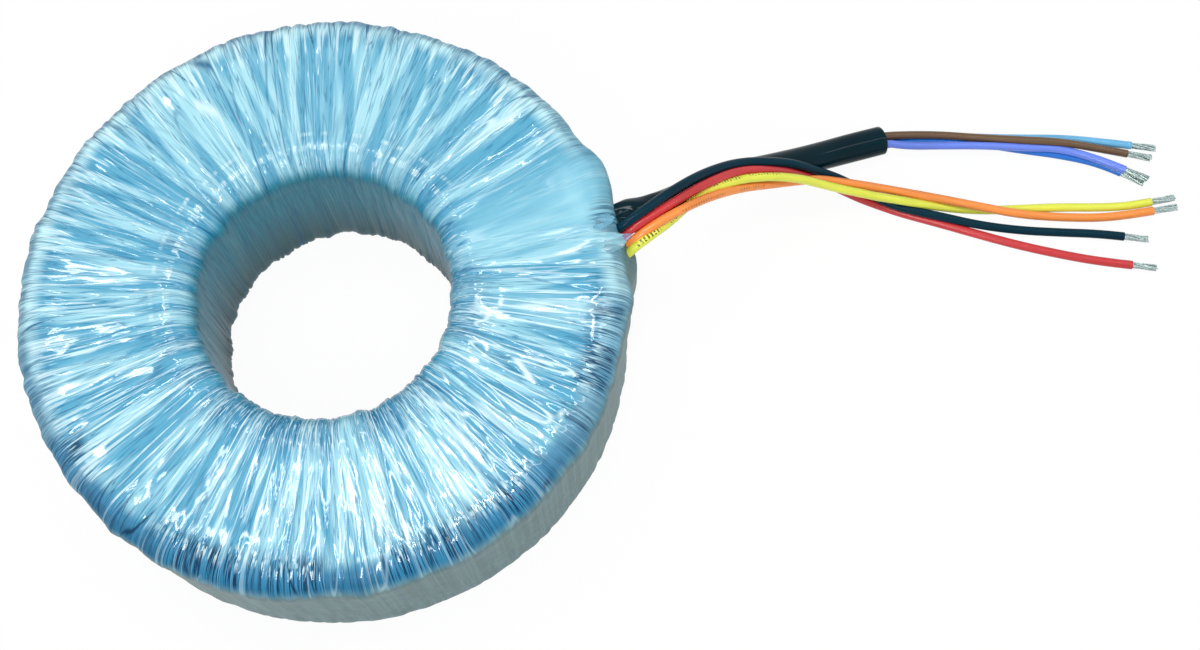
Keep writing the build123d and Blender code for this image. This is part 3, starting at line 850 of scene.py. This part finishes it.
def ring_noise(angle, along, seed, cells_around, cell_length, lean):
    """Smooth noise about -1 to 1, drawn out along the section and closed both ways."""
    loop = 2 * HALF_LOOP
    cells_along = max(round(loop / cell_length), 1)
    draw = np.random.default_rng(seed)
    grid = draw.random((cells_around, cells_along)) * 2 - 1
    shift = draw.random(cells_around) * cells_along
    leaning = lean * np.sin(2 * np.pi * (along - HALF_LOOP / 2) / loop)
    u = ((angle + leaning) / (2 * np.pi) % 1.0) * cells_around
    left = np.floor(u).astype(int)

    def column(index):
        index = index % cells_around
        v = (along / loop * cells_along + shift[index]) % cells_along
        low = np.floor(v).astype(int)
        first = grid[index, low % cells_along]
        return first + (grid[index, (low + 1) % cells_along] - first) * rise(v - low, 0, 1)

    before = column(left)
    return before + (column(left + 1) - before) * rise(u - left, 0, 1)


def film_relief(angle, along, settings):
    """Height of the film over the smooth ring, and the folds, zones and strength that colour it."""
    upper = (along < HALF_LOOP) * 1.0
    mirrored = np.minimum(along, 2 * HALF_LOOP - along)
    past_bore, past_face, past_rim = (mirrored - end for end in (BORE_END, FACE_END, RIM_END))
    on_face = mirrored - FACE_START
    face = rise(on_face, -0.004, 0.002) * (1 - rise(past_face, -0.003, 0.002))
    rim = rise(past_face, -0.006, 0.002) * (1 - rise(past_rim, 0.001, 0.008))
    wall = rise(past_rim, 0.0, 0.007)
    inner_edge = rise(past_bore, -0.004, 0.003) * (1 - rise(on_face, -0.001, 0.006))
    bore = 1 - rise(past_bore, -0.002, 0.004)
    calm = near_angle(angle, *CALM_PART) * upper * (face + rim)
    rim = rim * (0.5 + 0.5 * upper)

    folds, pleats, crinkles, stronger, ribs, blisters, clusters = (
        ring_noise(angle, along, *noise) for noise in FILM_NOISES)
    folds, pleats = folds * 1.25, pleats * 1.25
    strength = rise(stronger, -0.5, 0.6)
    nearer = 0.3 * np.maximum(np.cos(angle + math.radians(50)), 0)
    cluster = rise(clusters + nearer, -0.25, 0.2)

    height = settings.rib_depth * ribs * (0.45 * face + 0.8 * (rim + inner_edge) + 0.5 * (wall + bore))
    height += (settings.pleat_depth * np.abs(folds) ** 0.65
               * (0.55 * face + 0.7 * (rim + inner_edge) + 0.12 * wall + 0.35 * bore))
    height += (settings.crinkle_depth * np.abs(pleats) ** 0.7
               * (0.7 * face + 1.1 * rim + inner_edge + 0.3 * wall + 0.6 * bore))
    height += 0.4 * settings.crinkle_depth * crinkles * (0.3 + rim + inner_edge - 0.2 * wall)
    height *= 1 - 0.75 * calm
    hairs = near_angle(angle, *HAIR_LINES[1:]) * upper * face
    height += HAIR_LINES[0] * np.exp(-((blisters - 0.22) / 0.07) ** 2) * hairs

    outside = rise(past_face, -0.012, 0.006)
    fading = 1 - rise(along, HALF_LOOP, HALF_LOOP + 0.010)
    swellings = ((SLEEVE_SWELLING, outside * fading), (FRONT_SWELLING, outside * upper),
                 (LEADS_SWELLING, rise(past_rim, -0.002, 0.006) * fading))
    for (swelling, centre, width), reach in swellings:
        height += swelling * near_angle(angle, centre, width) * reach
    return height, (folds, pleats, blisters), (calm, hairs, cluster), strength


def ring_section():
    """The ring's rounded section, a bevelled rectangle, left in edit mode with nothing selected."""
    deselect_all()
    bpy.ops.mesh.primitive_plane_add(size=1, location=(SECTION_MIDDLE, 0, SECTION_HALF[1]),
                                     rotation=(math.pi / 2, 0, 0))
    ring = bpy.context.object
    ring.name = "film_wrap"
    ring.scale = (2 * SECTION_HALF[0], 2 * SECTION_HALF[1], 1)
    bpy.ops.object.transform_apply(location=True, rotation=True, scale=True)
    bpy.ops.object.mode_set(mode="EDIT")
    bpy.ops.mesh.select_all(action="SELECT")
    bpy.ops.mesh.delete(type="ONLY_FACE")
    bpy.ops.mesh.select_all(action="SELECT")
    bpy.ops.mesh.bevel(affect="VERTICES", offset=EDGE_RADIUS, offset_type="OFFSET", segments=CORNER_CUTS + 1)
    return ring


def cut_flats(mesh, cuts, upright):
    """Cut the section's two upright or level flats into equal lengths."""
    bpy.ops.mesh.select_mode(type="EDGE")
    bpy.ops.mesh.select_all(action="DESELECT")
    bpy.ops.object.mode_set(mode="OBJECT")
    for edge in mesh.edges:
        a, b = (mesh.vertices[index].co for index in edge.vertices)
        span = b - a
        edge.select = span.length > FLAT_HALF[upright] and (abs(span.z) > abs(span.x)) == upright
    bpy.ops.object.mode_set(mode="EDIT")
    bpy.ops.mesh.subdivide(number_cuts=cuts)


def add_film_wrap(settings):
    """The film over the whole ring, creased as tape is that is pulled through the bore."""
    ring = ring_section()
    mesh = ring.data
    cut_flats(mesh, FACE_CUTS, False)
    cut_flats(mesh, WALL_CUTS, True)
    bpy.ops.mesh.select_mode(type="VERT")
    sector = 2 * math.pi / SECTORS
    for steps, angle, copies in ((AROUND_STEPS // SECTORS, sector, False),
                                 (SECTORS - 1, 2 * math.pi - sector, True)):
        bpy.ops.mesh.select_all(action="SELECT")
        bpy.ops.mesh.spin(steps=steps, angle=angle, center=(0, 0, 0), axis=(0, 0, 1), dupli=copies)
    bpy.ops.mesh.select_all(action="SELECT")
    bpy.ops.mesh.remove_doubles(threshold=0.00002)
    bpy.ops.mesh.normals_make_consistent(inside=False)
    bpy.ops.object.mode_set(mode="OBJECT")

    place = np.empty(len(mesh.vertices) * 3)
    mesh.vertices.foreach_get("co", place)
    place = place.reshape(-1, 3)
    angle = np.arctan2(place[:, 1], place[:, 0])
    across = np.hypot(place[:, 0], place[:, 1]) - SECTION_MIDDLE
    up = place[:, 2] - SECTION_HALF[1]
    flat_across = np.clip(across, -FLAT_HALF[0], FLAT_HALF[0])
    flat_up = np.clip(up, -FLAT_HALF[1], FLAT_HALF[1])
    outwards = np.stack((across - flat_across, up - flat_up))
    outwards /= np.hypot(*outwards)
    turned = np.arctan2(np.abs(outwards[1]), -outwards[0])
    along = EDGE_RADIUS * turned + np.abs(flat_up) * (across < 0) + FLAT_HALF[1] * (across >= 0)
    along += (flat_across + FLAT_HALF[0]) + (FLAT_HALF[1] - np.abs(flat_up)) * (across >= 0)
    along = np.where(up >= 0, along, 2 * HALF_LOOP - along)

    height, folds, zones, strength = film_relief(angle, along, settings)
    place[:, 0] += height * outwards[0] * np.cos(angle)
    place[:, 1] += height * outwards[0] * np.sin(angle)
    place[:, 2] = np.maximum(place[:, 2] + height * outwards[1], 0.0)
    mesh.vertices.foreach_set("co", place.ravel())
    flow = (np.cos(angle), np.sin(angle), np.minimum(along, 2 * HALF_LOOP - along))
    for name, parts in (("folds", folds), ("zones", zones), ("flow", flow)):
        stored = mesh.attributes.new(name, "FLOAT_VECTOR", "POINT")
        stored.data.foreach_set("vector", np.stack(parts, 1).astype(np.float32).ravel())
    mesh.attributes.new("strength", "FLOAT", "POINT").data.foreach_set("value", strength.astype(np.float32))
    mesh.shade_smooth()
    mesh.update()
    dress(ring, film_material(settings), ["outer_wrap"])


# ---- loose film over the leads' roots: name, middle, length and width (m), turn (degrees), drop (m),
# colour and clearness ----
LOOSE_FILM = (
    ("loose_film_back", (0.0652, 0.0138, 0.0466), 0.0052, 0.0040, 24.0, 0.0005, (120, 184, 210), 0.6),
    ("loose_film_front", (0.0672, 0.0088, 0.0462), 0.0058, 0.0060, 14.0, 0.0007, (158, 214, 230), 0.5),
    ("loose_film_bit", (0.0702, 0.0100, 0.0452), 0.0030, 0.0022, 30.0, 0.0005, (150, 150, 186), 0.6),
)
LOOSE_FILM_THICKNESS = 0.00008


def add_loose_film(name, middle, length, width, turn, drop, colour, clearness):
    """A crumpled tongue of film that lies over the leads where they leave the wrap."""
    deselect_all()
    bpy.ops.mesh.primitive_grid_add(x_subdivisions=30, y_subdivisions=24, size=1, location=(0, 0, 0))
    tongue = bpy.context.object
    tongue.name = name
    seed = sum(ord(letter) for letter in name)
    waves = np.random.default_rng(seed).random((6, 3)) * (9, 12, 6.28) + (4, 3, 0)
    turned = Matrix.Rotation(math.radians(turn), 3, "Z")
    for vertex in tongue.data.vertices:
        u, v, _ = vertex.co
        ragged = (1 + 0.10 * math.sin(v * 11 + seed) + 0.06 * math.sin(v * 27)) * (1 - 1.1 * v * v)
        narrowed = 1 - 0.35 * (u + 0.5)
        lift = sum(math.sin(a * 0.4 * u + b * 1.4 * v + c) for a, b, c in waves) * 0.00008
        lift -= drop * (4 * v * v + max(-u - 0.1, 0) * 1.5 + max(u, 0) ** 2 * 4)
        vertex.co = Vector(middle) + turned @ Vector((u * length * ragged, v * width * narrowed, lift))
    thicken = tongue.modifiers.new("thickness", "SOLIDIFY")
    thicken.thickness = LOOSE_FILM_THICKNESS
    bpy.ops.object.modifier_apply(modifier=thicken.name)
    tongue.data.shade_smooth()
    dress(tongue, loose_film_material(name, linear(*colour), clearness))


# ---- the camera: its place in metres, its tilt from straight down and its turn in degrees ----
CAMERA_PLACE = (0.06353, -0.12919, 0.40113)
CAMERA_TILT = 18.34
CAMERA_TURN = -2.25
CAMERA_LENS = 49.65

# ---- the floor, and the lights' power setting, size and place; all shine at one point ----
FLOOR_SIZE = 6.0
FLOOR_GAP = 0.0001
LIT_POINT = Vector((0.02, 0, 0.03))
LIGHTS = {
    "key": ("key_power", (0.06, 0.32), (-0.17, 0.19, 0.82)),
    "second_key": ("key_power", (0.05, 0.32), (0.05, 0.10, 0.84)),
    "front": ("front_power", (0.06, 0.42), (-0.02, -0.42, 0.66)),
    "fill": ("fill_power", (0.50, 0.50), (-0.60, 0.20, 0.55)),
    "side": ("side_power", (0.06, 0.80), (0.54, 0.13, 0.66)),
}


def add_area_light(name, power, size, place):
    data = bpy.data.lights.new(name, "AREA")
    data.energy = power
    data.shape = "RECTANGLE"
    data.size, data.size_y = size
    aim = (LIT_POINT - Vector(place)).to_track_quat("-Z", "Y").to_matrix().to_4x4()
    new_piece(name, data).matrix_world = Matrix.Translation(place) @ aim


def lay_floor(settings):
    """A pale floor that keeps the object's shadow and is plain white where it is looked at."""
    deselect_all()
    bpy.ops.mesh.primitive_plane_add(size=FLOOR_SIZE, location=(0, 0, -FLOOR_GAP))
    floor = bpy.context.object
    bpy.ops.object.transform_apply(location=True, rotation=False, scale=False)
    floor.name = "floor"
    s = Shader("floor")
    s.finish(base_color=setting_colours(settings, "floor")[0], roughness=0.8)
    glow = s.add("ShaderNodeEmission", None, {"Color": (1, 1, 1, 1), "Strength": 1.0})
    shares = {0: s.plain_rays() * settings.floor_glow, 1: Term(s, s.surface.outputs["BSDF"]), 2: glow}
    s.feed(s.tree.nodes["Material Output"].inputs["Surface"], s.add("ShaderNodeMixShader", None, shares))
    floor.data.materials.append(s.material)


def light_world(sky):
    """Even light from all round, plain white where it is looked at past the floor."""
    world = bpy.data.worlds.new("studio")
    world.use_nodes = True
    bpy.context.scene.world = world
    nodes = Nodes(world.node_tree)
    background = nodes.tree.nodes["Background"]
    nodes.feed(background.inputs["Color"], (1, 1, 1, 1))
    nodes.feed(background.inputs["Strength"], nodes.plain_rays() * (1 - sky) + sky)


# ---- operators ----


class TRANSFORMER_OT_place_camera(bpy.types.Operator):
    """Place the camera high over the front of the ring, with the leads to its right"""
    bl_idname = "transformer.place_camera"
    bl_label = "Place camera"

    def execute(self, context):
        data = bpy.data.cameras.new("camera")
        data.lens = CAMERA_LENS
        data.sensor_width = 36
        data.sensor_fit = "HORIZONTAL"
        data.clip_start, data.clip_end = 0.01, 20
        camera = new_piece("camera", data)
        tilt = Matrix.Rotation(math.radians(CAMERA_TILT), 4, "X")
        turn = Matrix.Rotation(math.radians(CAMERA_TURN), 4, "Z")
        camera.matrix_world = Matrix.Translation(CAMERA_PLACE) @ tilt @ turn
        context.scene.camera = camera
        return {"FINISHED"}


class TRANSFORMER_OT_make_sleeve(bpy.types.Operator):
    """Make the vinyl sleeve over the thin leads"""
    bl_idname = "transformer.make_sleeve"
    bl_label = "Make sleeve"

    def execute(self, context):
        add_sleeve(context.scene.transformer_leads)
        return {"FINISHED"}


class TRANSFORMER_OT_make_primary_leads(bpy.types.Operator):
    """Make the thin leads that run through the sleeve"""
    bl_idname = "transformer.make_primary_leads"
    bl_label = "Make primary leads"

    def execute(self, context):
        settings = context.scene.transformer_leads
        add_leads(settings, PRIMARY_ROUTES, settings.primary_diameter)
        return {"FINISHED"}


class TRANSFORMER_OT_make_secondary_leads(bpy.types.Operator):
    """Make the thick leads that come straight out of the wrap"""
    bl_idname = "transformer.make_secondary_leads"
    bl_label = "Make secondary leads"

    def execute(self, context):
        settings = context.scene.transformer_leads
        add_leads(settings, SECONDARY_ROUTES, settings.secondary_diameter)
        return {"FINISHED"}


class TRANSFORMER_OT_wrap_film(bpy.types.Operator):
    """Wrap the ring in creased film"""
    bl_idname = "transformer.wrap_film"
    bl_label = "Wrap film"

    def execute(self, context):
        add_film_wrap(context.scene.transformer_film)
        return {"FINISHED"}


class TRANSFORMER_OT_lay_loose_film(bpy.types.Operator):
    """Lay tongues of loose film over the roots of the leads"""
    bl_idname = "transformer.lay_loose_film"
    bl_label = "Lay loose film"

    def execute(self, context):
        for tongue in LOOSE_FILM:
            add_loose_film(*tongue)
        return {"FINISHED"}


class TRANSFORMER_OT_finish_inside(bpy.types.Operator):
    """Give the core, windings, washers and joints their materials"""
    bl_idname = "transformer.finish_inside"
    bl_label = "Finish inside"

    def execute(self, context):
        finishes = {
            "core_insulation": sheet_material("core film", (224, 230, 226), (198, 208, 204), 0.24, 120.0),
            "core": steel_strip_material(),
            "end_washer": sheet_material("washer board", (222, 212, 186), (196, 184, 154), 0.7, 220.0),
            "winding_barrier": sheet_material("barrier film", (212, 222, 214), (186, 200, 192), 0.24, 140.0),
            "primary_winding": wire_material("primary wire", 420),
            "secondary_winding": wire_material("secondary wire", 300),
            "joint_sleeve": sheet_material("joint sleeve", (232, 232, 222), (208, 208, 196), 0.4, 300.0),
        }
        for node, piece in frame["nodes"].items():
            finish = next((material for part, material in finishes.items() if part in node), None)
            if finish:
                for slot in piece.material_slots:
                    slot.material = finish
        return {"FINISHED"}


class TRANSFORMER_OT_set_stage(bpy.types.Operator):
    """Lay the pale floor and set the soft lights"""
    bl_idname = "transformer.set_stage"
    bl_label = "Set stage"

    def execute(self, context):
        settings = context.scene.transformer_stage
        lay_floor(settings)
        light_world(settings.sky)
        for name, (power, size, place) in LIGHTS.items():
            add_area_light(name, getattr(settings, power), size, place)
        context.scene.view_settings.view_transform = "Standard"
        return {"FINISHED"}


class TRANSFORMER_PT_panel(bpy.types.Panel):
    """Buttons and settings of the transformer"""
    bl_idname = "TRANSFORMER_PT_panel"
    bl_label = "Toroidal transformer"
    bl_space_type = "VIEW_3D"
    bl_region_type = "UI"
    bl_category = "Transformer"

    def draw(self, context):
        for operator in OPERATORS:
            self.layout.operator(operator.bl_idname)
        for group in (context.scene.transformer_film, context.scene.transformer_leads,
                      context.scene.transformer_stage):
            box = self.layout.box()
            for name in group.__annotations__:
                box.prop(group, name)


OPERATORS = (
    TRANSFORMER_OT_place_camera,
    TRANSFORMER_OT_make_sleeve,
    TRANSFORMER_OT_make_primary_leads,
    TRANSFORMER_OT_make_secondary_leads,
    TRANSFORMER_OT_wrap_film,
    TRANSFORMER_OT_lay_loose_film,
    TRANSFORMER_OT_finish_inside,
    TRANSFORMER_OT_set_stage,
)
CLASSES = (FilmSettings, LeadSettings, StageSettings, *OPERATORS, TRANSFORMER_PT_panel)


def register():
    for entry in CLASSES:
        bpy.utils.register_class(entry)
    bpy.types.Scene.transformer_film = PointerProperty(type=FilmSettings)
    bpy.types.Scene.transformer_leads = PointerProperty(type=LeadSettings)
    bpy.types.Scene.transformer_stage = PointerProperty(type=StageSettings)


def unregister():
    del bpy.types.Scene.transformer_stage
    del bpy.types.Scene.transformer_leads
    del bpy.types.Scene.transformer_film
    for entry in reversed(CLASSES):
        bpy.utils.unregister_class(entry)


def main():
    register()
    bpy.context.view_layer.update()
    bpy.ops.transformer.place_camera()
    bpy.ops.transformer.make_sleeve()
    bpy.ops.transformer.make_primary_leads()
    bpy.ops.transformer.make_secondary_leads()
    bpy.ops.transformer.wrap_film()
    bpy.ops.transformer.lay_loose_film()
    bpy.ops.transformer.finish_inside()
    bpy.ops.transformer.set_stage()


if __name__ == "__main__":
    main()
